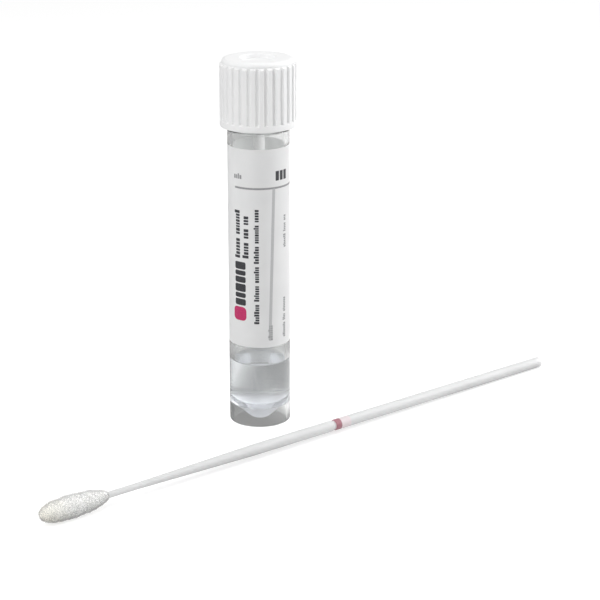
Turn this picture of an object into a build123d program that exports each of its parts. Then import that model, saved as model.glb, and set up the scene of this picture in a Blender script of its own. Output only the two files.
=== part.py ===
from build123d import *
import os
from math import acos, asin, atan2, cos, degrees, hypot, radians, sin, tan

# A specimen swab tube: a self-standing screw-cap tube with transport medium,
# and the flocked swab that goes with it, lying in front of the tube.
# Millimetres. The origin is the centre of the tube's foot, +Z runs up the tube.

os.makedirs("parts", exist_ok=True)

# Tube: barrel, skirted foot and conical bottom
tube_r = 6.9  # outside of the barrel
tube_wall = 1.1
shoulder_height = 68.2  # where the barrel ends and the neck begins
shoulder_chamfer = 0.25
foot_chamfer = 0.4
skirt_draft = 0.2  # how much wider the skirt's mouth is than its top
cone_half_angle = 45.0  # flank of the bottom, from the tube's axis
tip_round = 4.0  # outside radius of the bottom's rounded tip
tip_clear = 0.3  # tip's height above the surface that the skirt stands on
floor_wall = 1.0
cone_blend = 0.8  # inside chamfer between the bore and the cone

# Neck
neck_step = 0.45  # width of the shoulder, from the barrel in to the thread's root
neck_height = 13.4  # shoulder to rim
rim_chamfer = 0.25
bore_lead = 0.35  # chamfer that guides the cap's plug

# Thread, the same helix on the neck and in the cap
thread_pitch = 3.0
thread_turns = 1.6
thread_depth = 0.6
ridge_base = 1.7  # ridge's height at its root
ridge_crest = 0.8
thread_start = 3.4  # middle of the neck's ridge, above the shoulder
thread_play = 0.12  # axial gap on the loaded flank
thread_clear = 0.15  # radial gap from a crest to the root that faces it
ridge_sink = 0.2  # how far a ridge's root runs into its wall

# Cap
cap_gap = 0.6  # shoulder to the cap's mouth
cap_wall = 1.3  # from the inside wall to the ribs' crests
cap_roof = 1.6
cap_round = 0.95  # round of the top rim
cap_rim = 1.1  # rim's height above the slope
cap_slope = 0.3  # height of the slope from the ribs up to the rim
cap_rim_inset = 0.05  # rim's step in from the grooves' floors
cap_foot_chamfer = 0.3
mouth_lead = 0.3  # chamfer inside the mouth
recess_r = 4.0  # dished middle of the top
recess_depth = 1.0
recess_draft = 0.15  # how much narrower the dish is at its floor
recess_chamfer = 0.2
rib_count = 28
rib_depth = 0.45
groove_width = 0.95  # between the ribs' crests
groove_floor = 0.5  # flat width at the grooves' bottom
groove_over = 0.2  # how far the grooves' cutter stands out of the ribs
groove_low = 1.5  # plain band below the ribs
plug_play = 0.08  # plug to bore
plug_wall = 0.8
plug_length = 3.2
plug_lead = 0.4  # how far the plug's foot tapers in
plug_taper = 0.8  # height of that taper
catcher_gap = 1.02  # plug to the sleeve inside it, which grips the swab's broken shaft
catcher_wall = 0.75
catcher_length = 7.6
catcher_socket = 3.0  # straight part of the fins, where the shaft is held
catcher_grip = 0.05  # how much narrower the socket is than the shaft
catcher_mouth = 0.6  # how far the fins' slope ends above the sleeve's mouth
fin_count = 6
fin_thickness = 0.6

# Seal ring, under the cap's roof
seal_thickness = 0.8
seal_play = 0.05  # ring to plug
seal_edge = 0.2  # ring to the cap's inside wall

# Label, in a shallow panel of the barrel
label_low = 19.2
label_drop = 3.4  # shoulder down to the label's top edge
label_recess = 0.1
label_glue = 0.015  # adhesive between the panel and the paper
label_thickness = 0.075
label_gap = 3.0  # open strip at the back, along the arc

# Transport medium
liquid_height = 14.4
meniscus_rise = 0.5
meniscus_width = 1.2

# Swab, measured along its axis from the tip
swab_length = 147.6
swab_heading = 41.05  # direction in which it lies, from +X towards +Y
swab_x = -43.2  # the tip's end on the surface
swab_y = -62.4
handle_r = 1.25
handle_start = 56.0  # where the taper reaches the handle's full radius
stem_r = 0.68
stem_end = 24.0  # where the taper begins
end_chamfer = 0.3
break_at = 79.2
break_width = 1.1
break_depth = 0.45
flock_length = 16.6
flock_r = 2.5
flock_nose = 5.2  # length of its narrowing end
flock_nose_r = 1.6  # round at the very tip
flock_back = 7.2  # length of its long slope towards the stem
flock_heel = 3.4  # last part of that slope, which closes in on the stem
flock_heel_r = 2.05  # flock's radius where the heel begins
flock_end_r = 1.0  # flock's radius where it stops on the stem
core_r = 1.25  # moulded core inside the flock
core_chamfer = 0.6
core_start = 1.3
core_end = 14.0  # where the core narrows to the stem

# Sizes that follow
bore_r = tube_r - tube_wall
neck_r = tube_r - neck_step
rim_height = shoulder_height + neck_height
panel_r = tube_r - label_recess
label_high = shoulder_height - label_drop
tip_centre = tip_clear + tip_round
neck_crest_r = neck_r + thread_depth
cap_bore_r = neck_crest_r + thread_clear
cap_crest_r = cap_bore_r - thread_depth
cap_r = cap_bore_r + cap_wall
cap_rim_r = cap_r - rib_depth - cap_rim_inset
groove_over_half = groove_width / 2 + (groove_width - groove_floor) / 2 * groove_over / rib_depth
cap_mouth = shoulder_height + cap_gap
roof_under = rim_height + seal_thickness
cap_top = roof_under + cap_roof
dish_floor = cap_top - recess_depth
dish_under = dish_floor - cap_roof
plug_r = bore_r - plug_play
plug_inner_r = plug_r - plug_wall
catcher_r = plug_inner_r - catcher_gap
catcher_low = dish_under - catcher_length
flank_slope = (ridge_base - ridge_crest) / 2 / thread_depth
ridge_spacing = (ridge_base + ridge_crest) / 2 + flank_slope * thread_clear
neck_thread_z = shoulder_height + thread_start
cap_thread_z = neck_thread_z - ridge_spacing - thread_play
flock_contact = flock_length - flock_back  # lowest point of the flock as the swab lies
swab_tilt = degrees(asin((flock_r - handle_r) / (swab_length - end_chamfer - flock_contact)))


def bottom_points(radius, wall_r):
    """Where a rounded cone leaves the axis, leaves its tip's arc and meets a wall."""
    angle = radians(cone_half_angle)
    tip = (0, tip_centre - radius)
    tangent = (radius * cos(angle), tip_centre - radius * sin(angle))
    wall = (wall_r, tangent[1] + (wall_r - tangent[0]) / tan(angle))
    return tip, tangent, wall


inner_tip, inner_tangent, inner_wall = bottom_points(tip_round - floor_wall, bore_r)
outer_tip, outer_tangent, outer_wall = bottom_points(tip_round, bore_r)


def thread_ridge(root_r, crest_r, start_z):
    """Sweep one trapezoid ridge along the thread's helix, in the part being built."""
    inward = -1 if crest_r > root_r else 1
    sunk_half = ridge_base / 2 + flank_slope * ridge_sink
    with BuildLine() as helix:
        Helix(
            thread_pitch,
            thread_pitch * thread_turns,
            (root_r + crest_r) / 2,
            center=(0, 0, start_z),
        )
    with BuildSketch(Plane.XZ) as ridge:
        with BuildLine():
            Polyline(
                (root_r + inward * ridge_sink, start_z - sunk_half),
                (crest_r, start_z - ridge_crest / 2),
                (crest_r, start_z + ridge_crest / 2),
                (root_r + inward * ridge_sink, start_z + sunk_half),
                close=True,
            )
        make_face()
    sweep(sections=ridge.sketch, path=helix.line, is_frenet=True)


with BuildPart() as tube:
    with BuildSketch(Plane.XZ) as tube_section:
        with BuildLine():
            Line(outer_tip, inner_tip)
            RadiusArc(inner_tip, inner_tangent, -(tip_round - floor_wall))
            Polyline(
                inner_tangent,
                inner_wall,
                (bore_r, rim_height - bore_lead),
                (bore_r + bore_lead, rim_height),
                (neck_r, rim_height),
                (neck_r, shoulder_height),
                (tube_r, shoulder_height),
                (tube_r, label_high),
                (panel_r, label_high),
                (panel_r, label_low),
                (tube_r, label_low),
                (tube_r, 0),
                (bore_r + skirt_draft, 0),
                outer_wall,
                outer_tangent,
            )
            RadiusArc(outer_tangent, outer_tip, tip_round)
        make_face()
        chamfer(tube_section.vertices().sort_by_distance((*inner_wall, 0))[0], cone_blend)
        chamfer(tube_section.vertices().sort_by_distance((tube_r, 0, 0))[0], foot_chamfer)
        chamfer(tube_section.vertices().sort_by_distance((tube_r, shoulder_height, 0))[0], shoulder_chamfer)
        chamfer(tube_section.vertices().sort_by_distance((neck_r, rim_height, 0))[0], rim_chamfer)
    revolve(axis=Axis.Z)
    thread_ridge(neck_r, neck_crest_r, neck_thread_z)
tube.part.label = "tube"
export_step(tube.part, "parts/tube.step")


with BuildPart() as cap:
    with BuildSketch(Plane.XZ) as cap_section:
        with BuildLine():
            Polyline(
                (0, dish_floor),
                (0, dish_under),
                (plug_inner_r, dish_under),
                (plug_inner_r, roof_under - plug_length),
                (plug_r - plug_lead, roof_under - plug_length),
                (plug_r, roof_under - plug_length + plug_taper),
                (plug_r, roof_under),
                (cap_bore_r, roof_under),
                (cap_bore_r, cap_mouth + mouth_lead),
                (cap_bore_r + mouth_lead, cap_mouth),
                (cap_r, cap_mouth),
                (cap_r, cap_top - cap_rim - cap_slope),
                (cap_rim_r, cap_top - cap_rim),
                (cap_rim_r, cap_top),
                (recess_r, cap_top),
                (recess_r - recess_draft, dish_floor),
                close=True,
            )
        make_face()
        fillet(cap_section.vertices().sort_by_distance((cap_rim_r, cap_top, 0))[0], cap_round)
        chamfer(cap_section.vertices().sort_by_distance((cap_r, cap_mouth, 0))[0], cap_foot_chamfer)
        chamfer(cap_section.vertices().sort_by_distance((recess_r, cap_top, 0))[0], recess_chamfer)
    revolve(axis=Axis.Z)

    # grooves, which leave the ribs standing and run out above the slope
    with BuildSketch(Plane.XY.offset(cap_mouth + groove_low)):
        with PolarLocations(cap_r, rib_count):
            Polygon(
                (-rib_depth, -groove_floor / 2),
                (groove_over, -groove_over_half),
                (groove_over, groove_over_half),
                (-rib_depth, groove_floor / 2),
                align=None,
            )
    extrude(amount=cap_top - cap_mouth, mode=Mode.SUBTRACT)

    # sleeve inside the plug, with fins that guide the broken shaft into their middle
    with BuildSketch(Plane.XY.offset(catcher_low)):
        Circle(catcher_r)
        Circle(catcher_r - catcher_wall, mode=Mode.SUBTRACT)
    extrude(amount=catcher_length)
    socket_r = handle_r - catcher_grip
    fin_outer = catcher_r - catcher_wall / 2
    for index in range(fin_count):
        with BuildSketch(Plane.XZ.rotated((0, 0, index * 360 / fin_count))):
            with BuildLine():
                Polyline(
                    (socket_r, dish_under),
                    (socket_r, dish_under - catcher_socket),
                    (catcher_r - catcher_wall, catcher_low + catcher_mouth),
                    (fin_outer, catcher_low + catcher_mouth),
                    (fin_outer, dish_under),
                    close=True,
                )
            make_face()
        extrude(amount=fin_thickness / 2, both=True)
    thread_ridge(cap_bore_r, cap_crest_r, cap_thread_z)
cap.part.label = "cap"
export_step(cap.part, "parts/cap.step")


with BuildPart() as seal_ring:
    with BuildSketch(Plane.XZ) as seal_section:
        with Locations((plug_r + seal_play, rim_height)):
            Rectangle(
                cap_bore_r - seal_edge - plug_r - seal_play,
                seal_thickness,
                align=(Align.MIN, Align.MIN),
            )
    revolve(axis=Axis.Z)
seal_ring.part.label = "seal_ring"
export_step(seal_ring.part, "parts/seal_ring.step")


with BuildPart() as label:
    gap_angle = degrees(label_gap / panel_r)
    with BuildSketch(Plane.XZ.rotated((0, 0, 90 + gap_angle / 2))):
        with Locations((panel_r + label_glue, label_low)):
            Rectangle(label_thickness, label_high - label_low, align=(Align.MIN, Align.MIN))
    revolve(axis=Axis.Z, revolution_arc=360 - gap_angle)
label.part.label = "label"
export_step(label.part, "parts/label.step")


with BuildPart() as transport_medium:
    with BuildSketch(Plane.XZ) as medium_section:
        with BuildLine():
            RadiusArc(inner_tip, inner_tangent, -(tip_round - floor_wall))
            Polyline(
                inner_tangent,
                inner_wall,
                (bore_r, liquid_height + meniscus_rise),
                (bore_r - meniscus_width, liquid_height),
                (0, liquid_height),
                inner_tip,
            )
        make_face()
        chamfer(medium_section.vertices().sort_by_distance((*inner_wall, 0))[0], cone_blend)
    revolve(axis=Axis.Z)
transport_medium.part.label = "transport_medium"
export_step(transport_medium.part, "parts/transport_medium.step")


# the swab lies on its flock's belly and on the far end of its handle
along = Vector(
    cos(radians(swab_heading)) * cos(radians(swab_tilt)),
    sin(radians(swab_heading)) * cos(radians(swab_tilt)),
    -sin(radians(swab_tilt)),
)
sideways = Vector(sin(radians(swab_heading)), -cos(radians(swab_heading)), 0)
swab_height = flock_r * cos(radians(swab_tilt)) + flock_contact * sin(radians(swab_tilt))
swab_plane = Plane(origin=(swab_x, swab_y, swab_height), x_dir=along, z_dir=sideways)
swab_axis = Axis(swab_plane.origin, along)
stem_joins_core = core_end + (core_r - stem_r)


with BuildPart() as swab_shaft:
    with BuildSketch(swab_plane) as shaft_section:
        with BuildLine():
            Polyline(
                (core_start, 0),
                (core_start, core_r),
                (core_end, core_r),
                (stem_joins_core, stem_r),
                (stem_end, stem_r),
                (handle_start, handle_r),
                (break_at - break_width / 2, handle_r),
                (break_at, handle_r - break_depth),
                (break_at + break_width / 2, handle_r),
                (swab_length, handle_r),
                (swab_length, 0),
                close=True,
            )
        make_face()
        chamfer(shaft_section.vertices().sort_by_distance((core_start, core_r, 0))[0], core_chamfer)
        chamfer(shaft_section.vertices().sort_by_distance((swab_length, handle_r, 0))[0], end_chamfer)
    revolve(axis=swab_axis)
swab_shaft.part.label = "swab_shaft"
export_step(swab_shaft.part, "parts/swab_shaft.step")


# the nose's slope leaves its round at the tangent from (flock_nose, flock_r)
nose_ahead = flock_nose - flock_nose_r
nose_turn = degrees(atan2(flock_r, nose_ahead) + acos(flock_nose_r / hypot(flock_r, nose_ahead)))

with BuildPart() as flocked_tip:
    with BuildSketch(swab_plane) as flock_section:
        with BuildLine():
            nose = CenterArc((flock_nose_r, 0), flock_nose_r, nose_turn, 180 - nose_turn)
            Polyline(
                nose @ 0,
                (flock_nose, flock_r),
                (flock_contact, flock_r),
                (flock_length - flock_heel, flock_heel_r),
                (flock_length, flock_end_r),
                (flock_length, 0),
                nose @ 1,
            )
        make_face()
    revolve(axis=swab_axis)
    add(swab_shaft.part, mode=Mode.SUBTRACT)
flocked_tip.part.label = "flocked_tip"
export_step(flocked_tip.part, "parts/flocked_tip.step")
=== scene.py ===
import math

import bmesh
import bpy
import numpy as np
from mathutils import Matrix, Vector


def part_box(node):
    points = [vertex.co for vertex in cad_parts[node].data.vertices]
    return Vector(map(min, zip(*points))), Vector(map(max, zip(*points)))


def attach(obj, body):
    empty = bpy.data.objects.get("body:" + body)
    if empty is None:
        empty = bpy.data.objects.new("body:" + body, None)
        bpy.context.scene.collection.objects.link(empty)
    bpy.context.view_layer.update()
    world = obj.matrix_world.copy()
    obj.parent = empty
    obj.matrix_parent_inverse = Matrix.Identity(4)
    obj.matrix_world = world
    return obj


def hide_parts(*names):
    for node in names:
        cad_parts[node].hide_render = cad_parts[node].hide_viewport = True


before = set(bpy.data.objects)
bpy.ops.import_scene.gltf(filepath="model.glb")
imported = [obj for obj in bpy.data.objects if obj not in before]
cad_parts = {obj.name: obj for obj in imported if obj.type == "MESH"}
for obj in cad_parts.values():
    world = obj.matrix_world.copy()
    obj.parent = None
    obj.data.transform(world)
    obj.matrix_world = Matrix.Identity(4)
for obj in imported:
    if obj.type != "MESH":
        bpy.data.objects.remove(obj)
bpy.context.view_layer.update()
mm = 0.001  # shapes are worked out in millimetres and go into the meshes in metres
mergeGap = 0.0001  # points of a mesh that are nearer than this are one point
quarterTurn = math.tau / 4
print("frame loaded:", ", ".join(sorted(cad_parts)))


def boxOf(node):
    # lowest and highest corner of a CAD node at rest, in millimetres
    return [np.array(corner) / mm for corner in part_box(node)]


tubeHigh = boxOf("tube")[1]
capLow, capHigh = boxOf("cap")
ringLow, ringHigh = boxOf("seal_ring")
labelLow, labelHigh = boxOf("label")
mediumLow, mediumHigh = boxOf("transport_medium")


# shapes

def outline(corners, step=1.0, turn=10.0, hold=0.08, closed=False):
    # A line through (radius, height) corners. A corner with a third number becomes an arc of that
    # radius, tangent to both of its runs; a long run gets a point near each end, then even steps.
    before = [corners[-1] if closed else None] + corners[:-1]
    after = corners[1:] + [corners[0] if closed else None]
    pieces = []
    for last, corner, following in zip(before, corners, after):
        here = np.array(corner[:2], float)
        if len(corner) == 2 or last is None or following is None:
            pieces.append(here[None])
            continue
        back, on = (np.array(other[:2], float) - here for other in (last, following))
        back, on = back / np.hypot(*back), on / np.hypot(*on)
        half = 0.5 * math.acos(float(np.clip(back @ on, -1, 1)))
        middle = here + (back + on) / np.hypot(*(back + on)) * corner[2] / math.sin(half)
        start, end = (here + way * corner[2] / math.tan(half) - middle for way in (back, on))
        first = math.atan2(start[1], start[0])
        sweep = (math.atan2(end[1], end[0]) - first + math.pi) % math.tau - math.pi
        count = max(2, math.ceil(abs(math.degrees(sweep)) / turn)) + 1
        angles = first + sweep * np.linspace(0, 1, count)
        pieces.append(middle + corner[2] * np.stack([np.cos(angles), np.sin(angles)], 1))
    line = np.vstack(pieces + ([pieces[0][:1]] if closed else []))
    reach = np.concatenate([[0], np.cumsum(np.hypot(*np.diff(line, axis=0).T))])
    stops = [reach]
    for low, high in zip(reach[:-1], reach[1:]):
        if high - low > 4 * hold:
            stops.append(np.linspace(low + hold, high - hold, max(2, math.ceil((high - low) / step) + 1)))
    stops = np.sort(np.concatenate(stops))
    return np.stack([np.interp(stops, reach, line[:, k]) for k in (0, 1)], 1)


def turned(line, angles, swell=0.0):
    # a (radius, height) line turned about the tube's axis: x = r cos a, y = r sin a, z = height
    radius = line[:, :1] + swell
    height = np.broadcast_to(line[:, 1:], np.broadcast_shapes(radius.shape, (1, len(angles))))
    return np.stack([radius * np.cos(angles), radius * np.sin(angles), height], -1)


def ring(count):
    # even angles round a full turn, without the last one, which is the first again
    return np.arange(count) * math.tau / count


def capped(grid):
    # a grid whose first and last rows are closed by fans to their own middles
    ends = [np.broadcast_to(row.mean(0), row.shape)[None] for row in (grid[0], grid[-1])]
    return np.concatenate([ends[0], grid, ends[1]])


def skin(grid):
    # four-cornered faces between neighbouring rows and columns, with the last column joined to the first
    rows, columns = grid.shape[:2]
    index = np.arange(rows * columns).reshape(rows, columns)
    index = np.concatenate([index, index[:, :1]], 1)
    faces = np.stack([index[:-1, :-1], index[:-1, 1:], index[1:, 1:], index[1:, :-1]], -1)
    return grid.reshape(-1, 3), faces.reshape(-1, 4)


def smoothStep(value):
    # 0 below 0, 1 above 1, and 3v^2 - 2v^3 between them
    value = np.clip(value, 0, 1)
    return value * value * (3 - 2 * value)


thread = {"pitch": 3.0, "turns": 1.6, "depth": 0.6, "base": 1.7, "crest": 0.8, "fade": 0.06}


def threadSwell(line, angles, start):
    # Ridge of a right-handed thread: its middle climbs from start by one pitch a turn, its section is a
    # trapezoid with softened shoulders, and it fades out over a small share of a turn at both ends.
    turns = angles / math.tau + np.arange(math.ceil(thread["turns"]))[:, None]
    middle = start + thread["pitch"] * turns
    away = np.abs(line[:, 1][:, None, None] - middle[None])
    slope = (thread["base"] - thread["crest"]) / 2
    ridge = smoothStep((thread["base"] / 2 - away) / slope)
    fade = smoothStep(np.minimum(turns, thread["turns"] - turns) / thread["fade"])
    return thread["depth"] * (ridge * fade[None]).max(1)


def makePiece(name, shells, finish, body, replaced=(), crease=35.0, mend=True):
    # One mesh from several shells of points and faces. Points that meet are merged, which closes seams
    # and poles, and faces are turned outwards.
    starts = np.cumsum([0] + [len(points) for points, _ in shells])
    points = np.concatenate([points for points, _ in shells]) * mm
    faces = [face for (_, some), start in zip(shells, starts) for face in (some + start).tolist()]
    mesh = bpy.data.meshes.new(name)
    mesh.from_pydata(points.tolist(), [], faces)
    if mend:
        work = bmesh.new()
        work.from_mesh(mesh)
        bmesh.ops.remove_doubles(work, verts=work.verts, dist=mergeGap * mm)
        bmesh.ops.recalc_face_normals(work, faces=work.faces)
        work.to_mesh(mesh)
        work.free()
    mesh.shade_smooth()
    mesh.set_sharp_from_angle(angle=math.radians(crease))
    mesh.materials.append(finish)
    piece = bpy.data.objects.new(name, mesh)
    bpy.context.scene.collection.objects.link(piece)
    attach(piece, body)
    if replaced:
        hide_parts(*replaced)
    print("made", name, len(mesh.polygons), "faces")
    return piece


# finishes

class Wire:
    # a socket in a node tree; sums on it add Math nodes

    def __init__(self, tree, socket=None):
        self.tree = tree
        self.socket = socket

    def node(self, kind, settings=None, inputs=None, output=0):
        made = self.tree.nodes.new("ShaderNode" + kind)
        for name, value in (settings or {}).items():
            setattr(made, name, value)
        for name, value in (inputs or {}).items():
            if isinstance(value, Wire):
                self.tree.links.new(value.socket, made.inputs[name])
            else:
                made.inputs[name].default_value = value
        return Wire(self.tree, made.outputs[output])

    def maths(self, operation, *values):
        return self.node("Math", {"operation": operation}, dict(enumerate(values)))

    def __add__(self, other):
        return self.maths("ADD", self, other)

    def __sub__(self, other):
        return self.maths("SUBTRACT", self, other)

    def __rsub__(self, other):
        return self.maths("SUBTRACT", other, self)

    def __mul__(self, other):
        return self.maths("MULTIPLY", self, other)

    __radd__ = __add__
    __rmul__ = __mul__

    def within(self, low, high):
        # 0 at low and 1 at high, straight between them
        return self.node("MapRange", inputs={"Value": self, "From Min": low, "From Max": high})

    def band(self, start, end, soft, tail):
        # 1 from start to end and 0 beyond them, with edges that reach soft past start and tail past end
        return self.within(start - soft, start + soft) * (1 - self.within(end - tail, end + tail))

    def tint(self, low, high):
        # from the colour low to the colour high, as this value goes from 0 to 1
        return self.node("Mix", {"data_type": "RGBA"}, {0: self, 6: asColour(low), 7: asColour(high)}, 2)

    def greys(self, low, high):
        # the same from one grey to another
        return self.tint((low, low, low), (high, high, high))


def asColour(value):
    # three numbers get an alpha, and a linked colour stays as it is
    return value if isinstance(value, Wire) else (*value, 1.0)


def newFinish(name, **constants):
    # a Principled material with its constants on the shader's own sockets, and its Object coordinates
    material = bpy.data.materials.new(name)
    material.use_nodes = True
    shader = material.node_tree.nodes["Principled BSDF"]
    for socket, value in constants.items():
        target = shader.inputs[socket.replace("_", " ")]
        target.default_value = asColour(value) if target.type == "RGBA" else value
    return material, Wire(material.node_tree).node("TexCoord", output="Object")


def feed(material, **sockets):
    # links values to the sockets of a material's Principled shader
    shader = material.node_tree.nodes["Principled BSDF"]
    for socket, value in sockets.items():
        material.node_tree.links.new(value.socket, shader.inputs[socket.replace("_", " ")])


def grain(place, scale, detail=2.0, roughness=0.5):
    # even noise with about scale spots a metre
    return place.node("TexNoise", inputs={
        "Vector": place, "Scale": scale, "Detail": detail, "Roughness": roughness,
    })


def bump(height, strength, distance):
    # distance in millimetres
    return height.node("Bump", inputs={"Strength": strength, "Distance": distance * mm, "Height": height})


def passShadows(material, colour, bounced=0.0):
    # lets tinted light through in shadows, which thick clear plastic would otherwise block, and a share
    # of the light that bounces
    wire = Wire(material.node_tree)
    shader = Wire(material.node_tree, material.node_tree.nodes["Principled BSDF"].outputs[0])
    clear = wire.node("BsdfTransparent", inputs={"Color": asColour(colour)})
    shadow, diffuse = (wire.node("LightPath", output=f"Is {kind} Ray") for kind in ("Shadow", "Diffuse"))
    mixed = wire.node("MixShader", inputs={0: shadow + bounced * diffuse, 1: shader, 2: clear})
    material.node_tree.links.new(mixed.socket, material.node_tree.nodes["Material Output"].inputs["Surface"])


def clearPlastic():
    # moulded polypropylene: clear with a slight milky haze, and a faint orange peel
    material, place = newFinish(
        "clearPlastic", Base_Color=(0.965, 0.97, 0.968), Roughness=0.08, IOR=1.49, Transmission_Weight=0.95
    )
    feed(material, Normal=bump(grain(place, 260.0, 1.0), 0.12, 0.05))
    passShadows(material, (0.92, 0.93, 0.925))
    return material


def frostAndLitPlastic(name, transmission):
    # the same plastic at the bottom's cone, rougher and whiter; the whiteness is partly painted light
    # its lower transmission paints in the light that the cone's underside reflects inside it
    material, place = newFinish(
        name, Base_Color=(0.955, 0.955, 0.985), Roughness=0.35, IOR=1.49, Transmission_Weight=transmission
    )
    feed(material, Normal=bump(grain(place, 420.0, 2.0), 0.15, 0.05))
    passShadows(material, (0.95, 0.95, 0.955))
    return material


def mediumLiquid():
    # clear, slightly bluish transport medium
    material, place = newFinish("mediumLiquid", Roughness=0.03, IOR=1.333, Transmission_Weight=1.0)
    haze = grain(place, 120.0, 1.0)
    feed(material, Base_Color=haze.tint((0.90, 0.915, 0.935), (0.94, 0.95, 0.965)))
    passShadows(material, (0.93, 0.94, 0.95))
    return material


def capPlastic():
    # white opaque polypropylene, satin, with faint flow marks and fine spark-erosion texture
    material, place = newFinish(
        "capPlastic", Roughness=0.42, IOR=1.49, Subsurface_Weight=0.4, Subsurface_Radius=(1.0, 1.0, 1.0),
        Subsurface_Scale=1.0 * mm
    )
    flow = grain(place, 90.0, 3.0)
    texture = grain(place, 4200.0, 2.0, 0.6)
    feed(
        material,
        Base_Color=flow.within(0.3, 0.7).tint((0.865, 0.868, 0.872), (0.895, 0.896, 0.895)),
        Roughness=0.36 + 0.14 * texture,
        Normal=bump(texture + 0.3 * flow, 0.12, 0.03),
    )
    return material


def sealRubber():
    # soft grey silicone, matt, with faint mottling
    material, place = newFinish("sealRubber", Roughness=0.62, IOR=1.41, Sheen_Weight=0.1)
    mottle = grain(place, 1400.0, 3.0)
    feed(
        material,
        Base_Color=mottle.tint((0.52, 0.53, 0.54), (0.62, 0.63, 0.64)),
        Normal=bump(mottle, 0.2, 0.04),
    )
    return material


def labelPaper():
    # coated white label paper: fine fibres and a soft, slightly uneven gloss
    material, place = newFinish(
        "labelPaper", Roughness=0.5, IOR=1.45, Subsurface_Weight=0.4, Subsurface_Radius=(1.0, 1.0, 1.0),
        Subsurface_Scale=0.4 * mm
    )
    fibres = grain(place, 2600.0, 4.0, 0.65)
    cloud = grain(place, 140.0, 2.0)
    feed(
        material,
        Base_Color=cloud.within(0.3, 0.7).tint((0.79, 0.79, 0.795), (0.83, 0.83, 0.832)),
        Roughness=0.44 + 0.12 * fibres,
        Normal=bump(fibres, 0.16, 0.02),
    )
    passShadows(material, (0.75, 0.75, 0.75), 0.6)
    return material


def ink(name, dark, light):
    # printed ink, a little uneven where the paper takes less of it
    material, place = newFinish(name, Roughness=0.4, IOR=1.5)
    cover = grain(place, 5200.0, 3.0, 0.7)
    feed(
        material,
        Base_Color=cover.within(0.45, 0.75).tint(dark, light),
        Roughness=0.34 + 0.16 * cover,
        Normal=bump(cover, 0.1, 0.01),
    )
    return material


print("finishes ready")


# tube

tube = {
    "wall": 1.1, "neckStep": 0.45, "neckHeight": 13.4, "shoulderRound": 0.3, "rimRound": 0.25,
    "footRound": 0.4, "skirtDraft": 0.2, "skirtRound": 0.15, "tipClear": 0.3, "tipRound": 4.0,
    "floorWall": 1.0, "flank": 45.0, "panelRecess": 0.1, "panelEdge": 0.05, "blendRound": 1.4,
    "threadStart": 3.4, "threadMargin": 0.8, "threadStep": 0.15, "steps": 256,
    # the cone's frosted steps, whiter with painted light: how far in from the bore each one starts, and its
    # transmission
    "frostAndLitSteps": ((0.5, 0.85), (1.5, 0.6), (2.6, 0.35)),
}
boreR = mediumHigh[0]
tubeR = boreR + tube["wall"]
neckR = tubeR - tube["neckStep"]
rimZ = tubeHigh[2]
shoulderZ = rimZ - tube["neckHeight"]
neckThreadZ = shoulderZ + tube["threadStart"]


def bottomCorners(tipZ, tipRound, wallR, wallRound):
    # The rounded cone under the bore: the tip's arc leaves the axis level and turns into the flank, which
    # climbs at the flank's angle until it meets a wall.
    tipReach = tipRound * math.tan(math.radians(90 - tube["flank"]) / 2)
    wallZ = tipZ + (wallR - tipReach) / math.tan(math.radians(tube["flank"]))
    return [(0, tipZ), (tipReach, tipZ, tipRound), (wallR, wallZ, wallRound)]


def makeTube():
    # One closed wall from the outside of the tip to its inside: cone, skirt, foot, barrel with the label's
    # panel, shoulder, threaded neck, rim and bore.
    t = tube
    innerTip = t["tipClear"] + t["floorWall"]
    outer = bottomCorners(t["tipClear"], t["tipRound"], boreR, t["skirtRound"])
    inner = bottomCorners(innerTip, t["tipRound"] - t["floorWall"], boreR, t["blendRound"])
    panelR = tubeR - t["panelRecess"]
    threadLow = neckThreadZ - t["threadMargin"] - thread["base"] / 2
    threadHigh = neckThreadZ + thread["pitch"] * thread["turns"] + t["threadMargin"] + thread["base"] / 2
    threadHigh = min(threadHigh, rimZ - 2 * t["rimRound"])
    lower = outline(outer + [
        (boreR + t["skirtDraft"], 0, t["skirtRound"]),
        (tubeR, 0, t["footRound"]),
        (tubeR, labelLow[2], t["panelEdge"]),
        (panelR, labelLow[2], t["panelEdge"]),
        (panelR, labelHigh[2], t["panelEdge"]),
        (tubeR, labelHigh[2], t["panelEdge"]),
        (tubeR, shoulderZ, t["shoulderRound"]),
        (neckR, shoulderZ, t["shoulderRound"] / 2),
        (neckR, threadLow),
    ])
    neck = outline([(neckR, threadLow), (neckR, threadHigh)], step=t["threadStep"])
    upper = outline([
        (neckR, threadHigh),
        (neckR, rimZ, t["rimRound"]),
        (boreR, rimZ, t["rimRound"]),
    ] + inner[::-1])
    angles = ring(t["steps"])
    line = np.vstack([lower, neck[1:-1], upper])
    swell = np.zeros((len(line), len(angles)))
    swell[len(lower):len(lower) + len(neck) - 2] = threadSwell(neck[1:-1], angles, neckThreadZ)
    wall = skin(turned(line, angles, swell))
    shell = makePiece("tubeShell", [wall], clearPlastic(), "tube", ["tube"])
    # rougher, whiter steps of the cone, partly painted light
    for place, (_, transmission) in enumerate(t["frostAndLitSteps"]):
        shell.data.materials.append(frostAndLitPlastic(f"frostAndLitPlastic{place + 1}", transmission))
    middles = np.empty(len(shell.data.polygons) * 3)
    shell.data.polygons.foreach_get("center", middles)
    reach = np.hypot(middles[0::3], middles[1::3]) / mm
    frostAndLitSteps = sum((reach < boreR - edge).astype(np.int32) for edge, _ in t["frostAndLitSteps"])
    shell.data.polygons.foreach_set("material_index", frostAndLitSteps)


makeTube()


# transport medium

medium = {
    "level": 14.4, "rise": 0.5, "meniscus": 0.42, "overlap": 0.03, "steps": 128,
    "surfaceRows": 40, "surfaceEase": 1.6,  # more rows near the wall, where the surface bends
}


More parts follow.
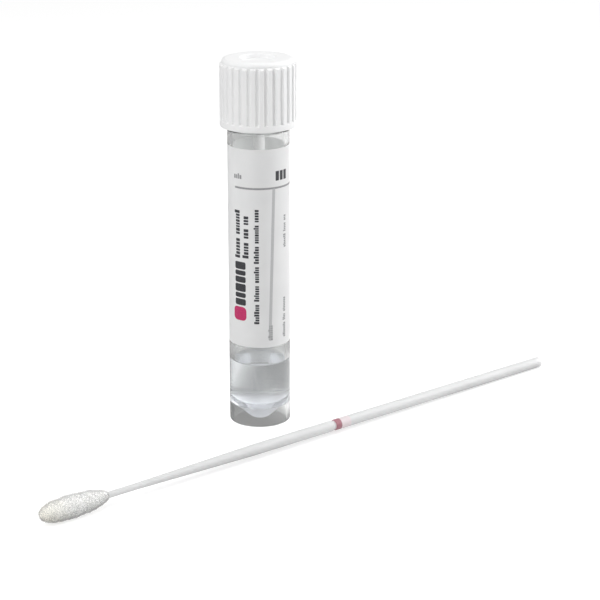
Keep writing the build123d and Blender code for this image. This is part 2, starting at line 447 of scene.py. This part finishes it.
def makeMedium():
    # The bore's own shape, a hair into the wall so that no air shows between them, under a surface that
    # climbs the wall: height = level + rise * exp(-distance from the wall / meniscus).
    m = medium
    wallR = boreR + m["overlap"]
    corners = bottomCorners(
        mediumLow[2] - m["overlap"], tube["tipRound"] - tube["floorWall"], wallR, tube["blendRound"]
    )
    side = outline(corners + [(wallR, m["level"] + m["rise"])])
    radius = wallR * (1 - np.linspace(0, 1, m["surfaceRows"]) ** m["surfaceEase"])
    surface = np.stack([radius, m["level"] + m["rise"] * np.exp(-(wallR - radius) / m["meniscus"])], 1)
    body = skin(turned(np.vstack([side, surface[1:]]), ring(m["steps"])))
    makePiece("transportMedium", [body], mediumLiquid(), "tube", ["transport_medium"])


makeMedium()


# cap

cap = {
    "wall": 1.3, "roof": 1.6, "rim": 1.1, "slope": 0.3, "rimInset": 0.05, "rimRound": 0.95, "footRound": 0.3,
    "edge": 0.12, "recessR": 4.0, "recessDepth": 1.0, "recessDraft": 0.15, "recessRound": 0.25,
    "mouthLead": 0.3, "ribs": 28, "ribDepth": 0.45, "grooveWidth": 0.95, "grooveFloor": 0.5,
    "grooveLow": 1.5, "grooveRamp": 0.3, "flankCurve": 0.35, "threadPlay": 0.12, "threadClear": 0.15,
    "plugPlay": 0.08, "plugWall": 0.8, "plugLength": 3.2, "plugLead": 0.4, "plugTaper": 0.8,
    "plugRound": 0.6, "underRound": 0.4,
    "catcherGap": 1.02, "catcherWall": 0.75, "catcherLength": 7.6, "catcherSocket": 3.0, "catcherMouth": 0.6,
    "finSocket": 1.2, "fins": 6, "finThickness": 0.6,
    "sink": 0.2,  # how far the sleeve and its fins run into the dish's underside
    # the mesh: how fine its rows and columns are, and where one step gives way to the next
    "flankSoft": 0.12, "flankSteps": 4, "sleeveSteps": 72, "lap": 1.0, "rampLap": 0.4, "topStep": 1.5,
    "sideStep": 2.5, "rampStep": 0.06, "insideStep": 0.26, "hiddenStep": 2.0, "hiddenTurn": 15,
}


def ribAngles():
    # Angles round the cap, closer together on the grooves' flanks; the first groove faces +X. Each corner
    # of a flank has an angle a little to each side of it.
    c = cap
    pitch = math.tau / c["ribs"]
    half, floor = (c[key] / 2 / capHigh[0] for key in ("grooveWidth", "grooveFloor"))
    soft = c["flankSoft"] * (half - floor)
    flank = np.linspace(floor + soft, half - soft, c["flankSteps"])
    away = np.concatenate([[floor - soft], flank, [half + soft, half + 3 * soft]])
    one = np.concatenate([[-pitch / 2], -away[::-1], [0], away])
    return (np.arange(c["ribs"])[:, None] * pitch + one).ravel()


def ribSkin(line, angles):
    # The grooves' floor and flanks as a radius: crest radius less the rib's depth inside each groove. A
    # flank is a mix of a straight line and a smooth step. The grooves ramp out at the plain band under them.
    c = cap
    pitch = math.tau / c["ribs"]
    away = np.abs((angles / pitch + 0.5) % 1 - 0.5) * pitch * capHigh[0]
    half, floor = c["grooveWidth"] / 2, c["grooveFloor"] / 2
    share = (half - away) / (half - floor)
    depth = c["flankCurve"] * smoothStep(share) + (1 - c["flankCurve"]) * np.clip(share, 0, 1)
    start = capLow[2] + c["grooveLow"]
    rise = smoothStep((line[:, 1:] - start + c["grooveRamp"] / 2) / c["grooveRamp"])
    return capHigh[0] - c["ribDepth"] * depth * rise


def catcherShells(plugInR, underZ):
    # The sleeve that grips a broken-off swab: a short tube that hangs from the underside of the dish, with
    # flat fins on its inside that lean in from its mouth to the socket.
    c = cap
    outR = plugInR - c["catcherGap"]
    inR = outR - c["catcherWall"]
    lowZ, topZ = underZ - c["catcherLength"], underZ + c["sink"]
    sleeve = outline([
        (inR, lowZ, c["edge"]),
        (outR, lowZ, c["edge"]),
        (outR, topZ),
        (inR, topZ),
    ], closed=True)
    shells = [skin(turned(sleeve, ring(c["sleeveSteps"])))]
    mouthZ = lowZ + c["catcherMouth"]
    finOutR = outR - c["catcherWall"] / 2
    fin = np.array([
        (c["finSocket"], topZ),
        (c["finSocket"], underZ - c["catcherSocket"]),
        (inR, mouthZ),
        (finOutR, mouthZ),
        (finOutR, topZ),
    ])
    for angle in ring(c["fins"]):
        ahead = np.array([math.cos(angle), math.sin(angle), 0])
        across = np.array([-math.sin(angle), math.cos(angle), 0])
        flat = fin[:, :1] * ahead + fin[:, 1:] * np.array([0, 0, 1])
        halves = np.array([-0.5, 0.5])[:, None, None] * c["finThickness"] * across
        shells.append(skin(capped(flat[None] + halves)))
    return shells


def makeCap():
    # One closed wall turned about the axis: dished top, rim, slope, ribbed side, mouth, threaded inside
    # wall, roof, plug seal and the underside of the dish. The sleeve with its fins stands inside the plug.
    c = cap
    low, high, outR = capLow[2], capHigh[2], capHigh[0]
    roofZ = high - c["roof"]
    dishZ = high - c["recessDepth"]
    underZ = dishZ - c["roof"]
    wallR = outR - c["wall"]
    rimR = outR - c["ribDepth"] - c["rimInset"]
    plugR = boreR - c["plugPlay"]
    plugInR = plugR - c["plugWall"]
    plugZ = roofZ - c["plugLength"]
    slopeZ = high - c["rim"] - c["slope"]
    grooveZ = low + c["grooveLow"]
    sideTop, rampTop, rampFoot = slopeZ - c["lap"], grooveZ + c["rampLap"], grooveZ - c["rampLap"]
    insideFoot, insideTop = low + 2 * c["mouthLead"], roofZ - c["lap"]
    edge = c["edge"]
    top = outline([
        (0, dishZ),
        (c["recessR"] - c["recessDraft"], dishZ, c["recessRound"]),
        (c["recessR"], high, c["recessRound"]),
        (rimR, high, c["rimRound"]),
        (rimR, high - c["rim"], edge),
        (outR, slopeZ, edge),
        (outR, sideTop),
    ], step=c["topStep"])
    side = outline([(outR, sideTop), (outR, rampTop)], step=c["sideStep"])
    ramp = outline([(outR, rampTop), (outR, rampFoot)], step=c["rampStep"], hold=c["rampStep"] / 2)
    foot = outline([
        (outR, rampFoot),
        (outR, low, c["footRound"]),
        (wallR + c["mouthLead"], low, edge / 2),
        (wallR, low + c["mouthLead"], edge / 2),
        (wallR, insideFoot),
    ], turn=c["hiddenTurn"])
    inside = outline([(wallR, insideFoot), (wallR, insideTop)], step=c["insideStep"])
    under = outline([
        (wallR, insideTop),
        (wallR, roofZ, edge),
        (plugR, roofZ, edge),
        (plugR, plugZ + c["plugTaper"], c["plugRound"]),
        (plugR - c["plugLead"], plugZ, edge),
        (plugInR, plugZ, edge),
        (plugInR, underZ, c["underRound"]),
        (0, underZ),
    ], step=c["hiddenStep"], turn=c["hiddenTurn"])
    angles = ribAngles()
    line = np.vstack([top, side[1:], ramp[1:], foot[1:], inside[1:-1], under])
    radius = np.broadcast_to(line[:, :1], (len(line), len(angles))).copy()
    outside = len(top) + len(side) + len(ramp) - 3
    radius[:outside] = np.minimum(radius[:outside], ribSkin(line[:outside], angles))
    ridgeGap = (thread["base"] + thread["crest"]) / 2
    ridgeGap += (thread["base"] - thread["crest"]) / 2 / thread["depth"] * c["threadClear"]
    first = outside + len(foot) - 1
    span = slice(first, first + len(inside) - 2)  # the rows of the threaded inside wall
    radius[span] -= threadSwell(line[span], angles, neckThreadZ - ridgeGap - c["threadPlay"])
    wall = skin(turned(np.stack([0 * line[:, 0], line[:, 1]], 1), angles, radius))
    shells = [wall] + catcherShells(plugInR, underZ)
    makePiece("capShell", shells, capPlastic(), "cap", ["cap"], crease=40)


makeCap()


# seal ring

seal = {"play": 0.05, "edge": 0.22, "steps": 144}


def makeRing():
    # a washer with rounded edges, under the cap's roof
    inR, outR = boreR - cap["plugPlay"] + seal["play"], ringHigh[0]
    low, high, edge = ringLow[2], ringHigh[2], seal["edge"]
    section = outline([
        (inR, low, edge),
        (outR, low, edge),
        (outR, high, edge),
        (inR, high, edge),
    ], closed=True)
    washer = skin(turned(section, ring(seal["steps"])))
    makePiece("sealRing", [washer], sealRubber(), "seal", ["seal_ring"])


makeRing()


# label and its print

label = {
    "thickness": 0.075, "gap": 3.0, "edge": 0.02, "steps": 96,
    "inkHeight": 0.012, "inkSink": 0.02, "inkStep": 0.45, "inkPoint": 0.02, "cornerSteps": 4,
}
labelR = -labelLow[0]  # the label's outside


def makeLabel():
    # a strip of paper bent round the tube: its section is carried along an open arc, with a gap behind
    arc = math.tau - label["gap"] / labelR
    angles = quarterTurn + label["gap"] / labelR / 2 + arc * np.linspace(0, 1, label["steps"])
    inR, low, high = labelR - label["thickness"], labelLow[2], labelHigh[2]
    edge = label["edge"]
    section = outline([
        (inR, low, edge),
        (labelR, low, edge),
        (labelR, high, edge),
        (inR, high, edge),
    ], step=high, closed=True)[:-1]  # a step longer than any side: no rows between its ends
    strip = turned(section, angles).transpose(1, 0, 2)
    makePiece("labelSheet", [skin(capped(strip))], labelPaper(), "tube", ["label"])


makeLabel()


def mark(angle, height, width, tall, corner=0.12, lean=0.0):
    # A thin slab of ink bent round the label. angle is in degrees from the front, growing to the right,
    # and width and tall are the slab's size round and along the tube. Its corners are quarter-round:
    # half-width = width / 2 - corner + sqrt(corner^2 - beyond^2). lean is how many degrees further round its
    # top is than its bottom.
    corner = min(corner, width / 2, tall / 2)
    bend = np.sin(np.linspace(-quarterTurn, 0, label["cornerSteps"]))
    straight = tall / 2 - corner
    climb = np.linspace(-straight, straight, 2 + math.ceil(abs(lean)))  # a leaning slab bends as it goes up
    rise = np.concatenate([corner * bend[:-1] - straight, climb, straight - corner * bend[-2::-1]])
    beyond = np.clip(np.abs(rise) - straight, 0, corner)
    half = width / 2 - corner + np.sqrt(corner ** 2 - beyond ** 2)
    half[[0, -1]] = max(width / 2 - corner, label["inkPoint"])
    share = np.linspace(-1, 1, max(2, math.ceil(width / label["inkStep"]) + 1))
    loop = np.concatenate([share, share[::-1]])
    lift = np.repeat([label["inkHeight"], -label["inkSink"]], len(share))
    rows = np.concatenate([[0], np.arange(len(rise)), [len(rise) - 1]])
    shown = np.ones(len(rows))
    shown[[0, -1]] = 0
    radius = labelR - label["inkSink"] + (lift + label["inkSink"])[None] * shown[:, None]
    middle = math.radians(angle) - quarterTurn + math.radians(lean) * rise[rows] / tall
    turn = middle[:, None] + half[rows][:, None] * loop[None] / labelR
    up = np.broadcast_to((height + rise[rows])[:, None], radius.shape)
    return skin(np.stack([radius * np.cos(turn), radius * np.sin(turn), up], -1))


# Widths, gaps and spaces are shares of the line's height. A word has from the first to one less than the
# second number of letters.
lettering = {
    "letters": (3, 9), "width": (0.26, 0.46), "gap": 0.12, "space": 0.55, "tallShare": 0.25, "corner": 0.08,
    "shortest": 0.5,
}


def textLine(draw, angle, low, high, tall, small, across):
    # A line of greeked text running up the tube: words of small blocks of uneven height, drawn in order
    # from one random stream. across puts the line round the tube: its place is then a height, and its
    # ends are in degrees.
    t = lettering
    marks = []
    place = low
    scale = math.degrees(1 / labelR) if across else 1.0
    while place < high - t["shortest"] * scale:
        for _ in range(int(draw.integers(*t["letters"]))):
            width = tall * draw.uniform(*t["width"])
            size = tall * (1.0 if draw.random() < t["tallShare"] else small)
            if place + width * scale > high:
                break
            middle = place + width * scale / 2
            if across:
                marks.append(mark(middle, angle - (tall - size) / 2, width, size, t["corner"]))
            else:
                shift = math.degrees((tall - size) / 2 / labelR)
                marks.append(mark(angle + shift, middle, size, width, t["corner"]))
            place += (width + tall * t["gap"]) * scale
        place += tall * t["space"] * scale
    return marks


# Angles are in degrees from the front, growing to the right; heights and sizes are in millimetres. A line
# has its ink, its place, its start and end, its height, the share of that for small letters, and whether it
# runs across, round the tube.
labelPrint = {
    "seed": 41,
    "lines": (
        ("dark", -43, 39.9, 51.5, 1.5, 0.75, False),
        ("dark", -25, 40.0, 49.8, 1.5, 0.75, False),
        ("dark", -4, 24.8, 51.5, 1.15, 0.75, False),
        ("grey", 56, 42.0, 49.5, 0.9, 0.75, False),
        ("grey", 54, 21.0, 31.0, 0.9, 0.75, False),
        ("grey", 58.6, -50, -22, 1.2, 0.75, True),
        ("dark", 58.8, 34, 62, 2.4, 0.9, True),
        ("grey", 22, 20.8, 25.0, 1.1, 0.75, False),
    ),
    "crossRule": {"angle": 58, "height": 56.0, "tall": 0.42, "corner": 0.05},
    "crossRuleSweep": 212,
    # a soft grey band of painted shade up the label, drawn as a leaning slab of pale ink
    "uprightShadeBand": {"angle": 25.5, "height": 38.4, "width": 0.7, "tall": 35.0, "corner": 0.05, "lean": 9},
    "block": {"angle": -37, "width": 2.9, "corner": 0.35},
    "blockSpans": ((28.9, 1.5), (30.7, 1.1), (32.1, 1.8), (34.2, 1.4), (35.9, 1.1), (37.3, 1.7)),
    "badge": {"angle": -38.5, "height": 26.9, "width": 3.5, "tall": 3.2, "corner": 0.9},
}


def makePrint():
    # the label's print, one piece for each ink; the pale ink carries painted shade, a soft grey band up the
    # label
    p = labelPrint
    draw = np.random.default_rng(p["seed"])
    marks = {"dark": [], "grey": [], "pale": [], "crimson": []}
    for inkName, *line in p["lines"]:
        marks[inkName] += textLine(draw, *line)
    marks["grey"].append(mark(width=math.radians(p["crossRuleSweep"]) * labelR, **p["crossRule"]))
    # painted shade up the label, in pale ink
    marks["pale"].append(mark(**p["uprightShadeBand"]))
    marks["dark"] += [mark(height=low + tall / 2, tall=tall, **p["block"]) for low, tall in p["blockSpans"]]
    marks["crimson"].append(mark(**p["badge"]))
    inks = {
        "dark": ink("darkInk", (0.035, 0.036, 0.042), (0.10, 0.10, 0.11)),
        "grey": ink("greyInk", (0.30, 0.30, 0.31), (0.42, 0.42, 0.43)),
        # the pale ink paints shade, not print
        "pale": ink("paleShadeInk", (0.54, 0.54, 0.55), (0.60, 0.60, 0.61)),
        "crimson": ink("crimsonInk", (0.55, 0.02, 0.13), (0.66, 0.06, 0.19)),
    }
    for name, finish in inks.items():
        makePiece(f"{name}Print", marks[name], finish, "tube", crease=60)


makePrint()


# swab

swab = {
    "tipX": -43.2, "tipY": -62.4, "heading": 41.05, "length": 147.6, "handleR": 1.25, "handleStart": 56.0,
    "stemR": 0.68, "stemEnd": 24.0, "endRound": 0.3, "breakAt": 79.2, "breakWidth": 1.1, "breakDepth": 0.45,
    "coreStart": 1.3, "coreR": 1.25, "coreEnd": 14.0, "flockLength": 16.6, "flockR": 2.5, "flockBack": 7.2,
    "coreRound": 0.5, "coreEdge": 0.3, "bendRound": 30, "grooveEdge": 0.12, "grooveRound": 0.18,
    "steps": 64, "lineStep": 1.5,
    "ringStart": 79.5, "ringEnd": 81.1, "ringSoft": 0.1, "ringRagged": 0.12, "ringCover": 0.95,
    "fadeEnd": 83.9, "fadeSoft": 0.3, "fadeCover": 0.4, "flowShare": 0.3,
}
contact = swab["flockLength"] - swab["flockBack"]
tilt = math.asin((swab["flockR"] - swab["handleR"]) / (swab["length"] - swab["endRound"] - contact))
heading = math.radians(swab["heading"])
swabLevel = np.array([math.cos(heading), math.sin(heading), 0.0])
swabSide = np.array([swabLevel[1], -swabLevel[0], 0.0])
swabAlong = swabLevel * math.cos(tilt) - np.array([0.0, 0.0, math.sin(tilt)])
swabUp = np.cross(swabSide, swabAlong)
swabTip = np.array([
    swab["tipX"], swab["tipY"], swab["flockR"] * math.cos(tilt) + contact * math.sin(tilt)
])


def outwards(angles):
    # unit arrows square to the swab's axis
    return np.cos(angles)[:, None] * swabSide + np.sin(angles)[:, None] * swabUp


def alongSwab(line, angles, swell=0.0):
    # a (radius, distance) line turned about the swab's axis: tip + distance * along + radius * outwards
    radius = (line[:, :1] + swell)[..., None]
    return swabTip + line[:, 1][:, None, None] * swabAlong + radius * outwards(angles)[None]


def swabDistance(place):
    # how far a point is along the swab from its tip, in metres
    start = float(swabTip @ swabAlong) * mm
    return place.node("VectorMath", {"operation": "DOT_PRODUCT"}, {0: place, 1: swabAlong}, "Value") - start


def shaftPlastic():
    # milky translucent polystyrene with a printed ring at the breaking groove and a paler band beside it
    material, place = newFinish(
        "shaftPlastic", Roughness=0.5, IOR=1.5, Subsurface_Weight=1.0, Subsurface_Radius=(1.0, 1.0, 1.0),
        Subsurface_Scale=6.0 * mm
    )
    s = swab
    distance = swabDistance(place)
    ragged = distance + (grain(place, 2500.0) - 0.5) * (s["ringRagged"] * mm)
    soft = s["ringSoft"] * mm
    printed = ragged.band(s["ringStart"] * mm, s["ringEnd"] * mm, soft, soft)
    pale = ragged.band(s["ringEnd"] * mm, s["fadeEnd"] * mm, soft, s["fadeSoft"] * mm)
    flow = grain(place, 160.0, 3.0)
    length = distance.within(s["stemEnd"] * mm, s["length"] * mm)
    mixed = (1 - s["flowShare"]) * length + s["flowShare"] * flow
    body = mixed.tint((0.57, 0.573, 0.575), (0.68, 0.683, 0.685))
    tinted = (s["fadeCover"] * pale).tint(body, (0.78, 0.55, 0.60))
    feed(
        material,
        Base_Color=(s["ringCover"] * printed).tint(tinted, (0.32, 0.12, 0.15)),
        Normal=bump(grain(place, 900.0, 2.0), 0.1, 0.03),
    )
    return material


def makeShaft():
    # core, stem, taper, handle and the breaking groove, turned about the swab's axis
    s = swab
    at, half = s["breakAt"], s["breakWidth"] / 2
    line = outline([
        (0, s["coreStart"]),
        (s["coreR"], s["coreStart"], s["coreRound"]),
        (s["coreR"], s["coreEnd"], s["coreEdge"]),
        (s["stemR"], s["coreEnd"] + s["coreR"] - s["stemR"], s["coreEdge"]),
        (s["stemR"], s["stemEnd"], s["bendRound"]),
        (s["handleR"], s["handleStart"], s["bendRound"]),
        (s["handleR"], at - half, s["grooveEdge"]),
        (s["handleR"] - s["breakDepth"], at, s["grooveRound"]),
        (s["handleR"], at + half, s["grooveEdge"]),
        (s["handleR"], s["length"], s["endRound"]),
        (0, s["length"]),
    ], step=s["lineStep"])
    shaft = skin(alongSwab(line, ring(s["steps"])))
    makePiece("swabShaft", [shaft], shaftPlastic(), "tube", ["swab_shaft"])


makeShaft()


flock = {
    "inset": 0.3, "widest": 7.2, "nosePower": 2.35, "bodyEndR": 0.7, "rows": 90, "columns": 96,
    "lump": 0.06, "lumpStart": 4.0, "lumpEnd": 3.0,  # how far the lumps take to grow at each end
    "fibres": 26000, "seed": 7, "fibreLow": 0.30, "fibreHigh": 0.52, "fibreR": 0.032, "lean": 0.35,
    "rootSink": 0.05, "soften": 0.8, "fibreAlpha": 0.28, "fibreShadow": 0.9, "floorGap": 0.02,
    "spare": 4, "spotMargin": 0.35,  # spots drawn for each fibre, and what keeps some at the thin ends
    "slopeStep": 0.01, "slopeLimit": 4.0, "wornStart": 0.5, "wornEnd": 7.0,
}


def flockRadius(distance):
    # The body under the fibres is a spindle of two halves that meet at its widest place:
    # radius = full * (1 - |(distance - widest) / reach|^power)^(1 / power). The front one is blunter than
    # an ellipse, and the back one, an ellipse, is cut off at the stem.
    f, s = flock, swab
    full = s["flockR"] - f["inset"]
    backReach = (s["flockLength"] - f["widest"]) / math.sqrt(1 - (f["bodyEndR"] / full) ** 2)
    away = distance - f["widest"]
    reach = np.where(away < 0, f["widest"] - f["inset"], backReach)
    power = np.where(away < 0, f["nosePower"], 2.0)
    return full * np.clip(1 - np.abs(away / reach) ** power, 0, 1) ** (1 / power)


def flockLump(distance, angles):
    # long soft lumps: three sines of distance and angle added together, faded out at both ends
    left = swab["flockLength"] - distance
    fade = smoothStep(distance / flock["lumpStart"]) * smoothStep(left / flock["lumpEnd"])
    return flock["lump"] * (
        np.sin(1.3 * distance + 1.0) * np.sin(2 * angles + 0.4) + 0.7 * np.sin(2.1 * distance - 3 * angles)
        + 0.5 * np.sin(3.7 * distance + 5 * angles + 2.0)
    ) * fade


def flockFibre(name):
    # short white nylon fibres, warmer towards the nose, where they are packed
    material, place = newFinish(
        name, Roughness=0.85, IOR=1.3, Sheen_Weight=0.15, Sheen_Roughness=0.5, Subsurface_Weight=0.3,
        Subsurface_Radius=(1.0, 0.97, 0.9), Subsurface_Scale=1.0 * mm
    )
    distance = swabDistance(place)
    clump = grain(place, 900.0, 4.0, 0.6)
    nose = 1 - distance.within(flock["wornStart"] * mm, flock["wornEnd"] * mm)
    worn = nose * (0.55 + 0.6 * grain(place, 220.0, 3.0))
    pale = clump.within(0.3, 0.7).tint((0.92, 0.92, 0.915), (0.96, 0.96, 0.955))
    feed(material, Base_Color=worn.tint(pale, (0.93, 0.90, 0.82)), Normal=bump(clump, 0.25, 0.12))
    return material


def makeFlockBody():
    # a lumpy body turned about the swab's axis, with closer rows at its ends
    f, s = flock, swab
    share = np.linspace(0, 1, f["rows"])
    distance = f["inset"] + (s["flockLength"] - f["inset"]) * (0.5 - 0.5 * np.cos(math.pi * share))
    angles = ring(f["columns"])
    line = np.stack([flockRadius(distance), distance], 1)
    line[-1, 0] = 0
    body = alongSwab(line, angles, flockLump(distance[:, None], angles))
    body[0], body[-1] = body[0].mean(0), body[-1].mean(0)
    body[..., 2] = np.maximum(body[..., 2], f["floorGap"])
    makePiece("flockBody", [skin(body)], flockFibre("flockCore"), "tube", ["flocked_tip"])


def unit(arrows):
    # the same arrows, each of length one
    return arrows / np.linalg.norm(arrows, axis=1)[:, None]


def makeFibres():
    # Thin three-sided spikes that stand on the body and lean about. Spots are drawn evenly along the swab,
    # and fewer are kept where the body is thin.
    f, s = flock, swab
    draw = np.random.default_rng(f["seed"])
    drawn = f["spare"] * f["fibres"]
    spots = f["inset"] + draw.random(drawn) * (s["flockLength"] - f["inset"])
    spots = spots[draw.random(drawn) * s["flockR"] < flockRadius(spots) + f["spotMargin"]][:f["fibres"]]
    turn = draw.random(len(spots)) * math.tau
    radius = flockRadius(spots) + flockLump(spots, turn)
    step = f["slopeStep"]
    slope = (flockRadius(spots + step) - flockRadius(spots - step)) / (2 * step)
    slope = np.clip(slope, -f["slopeLimit"], f["slopeLimit"])
    outward = outwards(turn)
    normal = unit(outward - slope[:, None] * swabAlong)
    root = swabTip + spots[:, None] * swabAlong + (radius - f["rootSink"])[:, None] * outward
    way = unit(normal + f["lean"] * draw.normal(size=(len(spots), 3)))
    length = draw.uniform(f["fibreLow"], f["fibreHigh"], len(spots))
    first = unit(np.cross(way, swabAlong))
    second = np.cross(way, first)
    thirds = (0, math.tau / 3, -math.tau / 3)
    spokes = [math.cos(angle) * first + math.sin(angle) * second for angle in thirds]
    corners = [root + f["fibreR"] * spoke for spoke in spokes]
    points = np.stack(corners + [root + length[:, None] * way], 1)
    points[..., 2] = np.maximum(points[..., 2], f["floorGap"])
    spike = np.array([(0, 2, 1), (0, 1, 3), (1, 2, 3), (2, 0, 3)])
    faces = np.arange(len(spots))[:, None, None] * 4 + spike
    finish = flockFibre("flockFibre")
    finish.node_tree.nodes["Principled BSDF"].inputs["Alpha"].default_value = f["fibreAlpha"]
    passShadows(finish, (0.99, 0.99, 0.985), f["fibreShadow"])
    fibres = makePiece("flockFibres", [(points.reshape(-1, 3), faces.reshape(-1, 3))], finish, "tube",
                       mend=False, crease=180)
    # shaded mostly as the body under them, because real flock scatters light between its fibres
    facing = unit(f["soften"] * normal + (1 - f["soften"]) * way)
    fibres.data.normals_split_custom_set_from_vertices(np.repeat(facing, 4, axis=0).tolist())


makeFlockBody()
makeFibres()
print("swab ready")


# studio

studio = {
    "aim": (9.2, 0.0, 28.3), "distance": 456.0, "elevation": 17.72, "lens": 120.7, "sensor": 36.0,
    "floorSize": 12.0, "floorSeen": 0.5, "floorGlow": 0.62, "floorTone": 0.62,
    # What shows through the clear plastic, zone by zone, as painted shade and light: its tones, where it goes
    # from one to the other, and how far from the tube it gives way to the next zone. All places are in
    # millimetres.
    # a painted shadow under the tube's foot, as the clear plastic shows it
    "footShadowTone": 0.24, "footShadowEnds": (6, 14),
    "nearTones": (0.16, 1.0), "nearSides": (-8, 10), "nearEnds": (44, 50),
    # painted shade behind the tube, darkest in line with it
    "middleTones": (0.08, 0.45), "middleSides": (1, 8), "middleEnds": (80, 120),
    "farTones": (0.45, 0.9), "farSides": (-6, 3),
    "skySide": 0.42, "skyTop": 0.56, "skyClimb": 0.8,
    "lights": (  # name, place, size and watts
        ("keyLight", (-420, -420, 520), 420, 2.3),
        ("topLight", (40, 60, 700), 600, 0.9),
        ("rimLight", (520, 120, 300), 300, 1.9),
    ),
    "lightAim": (0, 0, 30), "bounces": 20, "diffuseBounces": 10,
}


def between(value, ends):
    # 0 at the first of two places and 1 at the second, which are in millimetres
    return value.within(ends[0] * mm, ends[1] * mm)


def clearFloor(place):
    # The floor as the clear plastic shows it: painted shade and light, in greys that stand for a studio's
    # dark and light cards. It has a painted shadow under the tube's foot. Going away from the tube, it is
    # first dark on the left and light on the right, then darkest in line with the tube, a painted shade
    # behind it, and paler to both sides, and last grey on the left and light on the right.
    s = studio
    across = place.node("SeparateXYZ", inputs={0: place}, output="X")
    away = place.node("VectorMath", {"operation": "LENGTH"}, {0: place}, "Value")
    right = between(across, s["nearSides"])
    near = (right * right).greys(*s["nearTones"])
    middle = between(across.maths("ABSOLUTE", across), s["middleSides"]).greys(*s["middleTones"])
    far = between(across, s["farSides"]).greys(*s["farTones"])
    behind = between(away, s["nearEnds"]).tint(near, between(away, s["middleEnds"]).tint(middle, far))
    # the painted shadow under the tube's foot
    return between(away, s["footShadowEnds"]).tint((s["footShadowTone"],) * 3, behind)


def makeFloor():
    # a wide pale floor: near white to the camera, a soft grey to bounced light, and its zones of painted
    # shade and light to what looks through the clear plastic
    s = studio
    half = s["floorSize"] / 2
    mesh = bpy.data.meshes.new("floor")
    corners = [(-half, -half, 0), (half, -half, 0), (half, half, 0), (-half, half, 0)]
    mesh.from_pydata(corners, [], [(0, 1, 2, 3)])
    floor = bpy.data.objects.new("floor", mesh)
    bpy.context.scene.collection.objects.link(floor)
    material, place = newFinish("floorPaper", Roughness=1.0, Specular_IOR_Level=0.0, Emission_Strength=1.0)
    seen = place.node("LightPath", output="Is Camera Ray")
    lit = place.node("LightPath", output="Is Diffuse Ray")
    feed(
        material,
        Base_Color=seen.tint(lit.greys(0, s["floorTone"]), (s["floorSeen"],) * 3),
        # what looks through the clear plastic sees the floor glow with painted shade and light
        Emission_Color=seen.tint(lit.tint(clearFloor(place), (0, 0, 0)), (s["floorGlow"],) * 3),
    )
    mesh.materials.append(material)


def makeSky():
    # white to the camera, and to all else a soft grey that gets lighter as it climbs
    s = studio
    world = bpy.data.worlds.new("studioWorld")
    bpy.context.scene.world = world
    world.use_nodes = True
    direction = Wire(world.node_tree).node("TexCoord", output="Generated")
    up = direction.node("SeparateXYZ", inputs={0: direction}, output="Z")
    seen = direction.node("LightPath", output="Is Camera Ray")
    shade = up.within(0.0, s["skyClimb"]).greys(s["skySide"], s["skyTop"])
    background = world.node_tree.nodes["Background"]
    world.node_tree.links.new(seen.tint(shade, (1, 1, 1)).socket, background.inputs["Color"])


def makeLight(name, place, size, power):
    # a square soft light that faces the object; its place and size are in millimetres
    lamp = bpy.data.lights.new(name, "AREA")
    lamp.shape, lamp.size, lamp.energy = "SQUARE", size * mm, power
    light = bpy.data.objects.new(name, lamp)
    light.location = Vector(place) * mm
    towards = Vector(studio["lightAim"]) - Vector(place)
    light.rotation_euler = towards.to_track_quat("-Z", "Y").to_euler()
    bpy.context.scene.collection.objects.link(light)


def makeCamera():
    # stands back from the aim point at the given elevation and looks straight along +Y
    s = studio
    lens = bpy.data.cameras.new("camera")
    lens.lens, lens.sensor_width = s["lens"], s["sensor"]
    camera = bpy.data.objects.new("camera", lens)
    rise = math.radians(s["elevation"])
    back = Vector((0, -math.cos(rise), math.sin(rise)))
    camera.location = (Vector(s["aim"]) + back * s["distance"]) * mm
    camera.rotation_euler = (quarterTurn - rise, 0, 0)
    bpy.context.scene.collection.objects.link(camera)
    bpy.context.scene.camera = camera


makeFloor()
makeSky()
for settings in studio["lights"]:
    makeLight(*settings)
makeCamera()

scene = bpy.context.scene
scene.view_settings.view_transform = "Standard"
scene.cycles.max_bounces = studio["bounces"]
scene.cycles.diffuse_bounces = studio["diffuseBounces"]
scene.cycles.transmission_bounces = studio["bounces"]
scene.cycles.transparent_max_bounces = studio["bounces"]
print("studio ready")
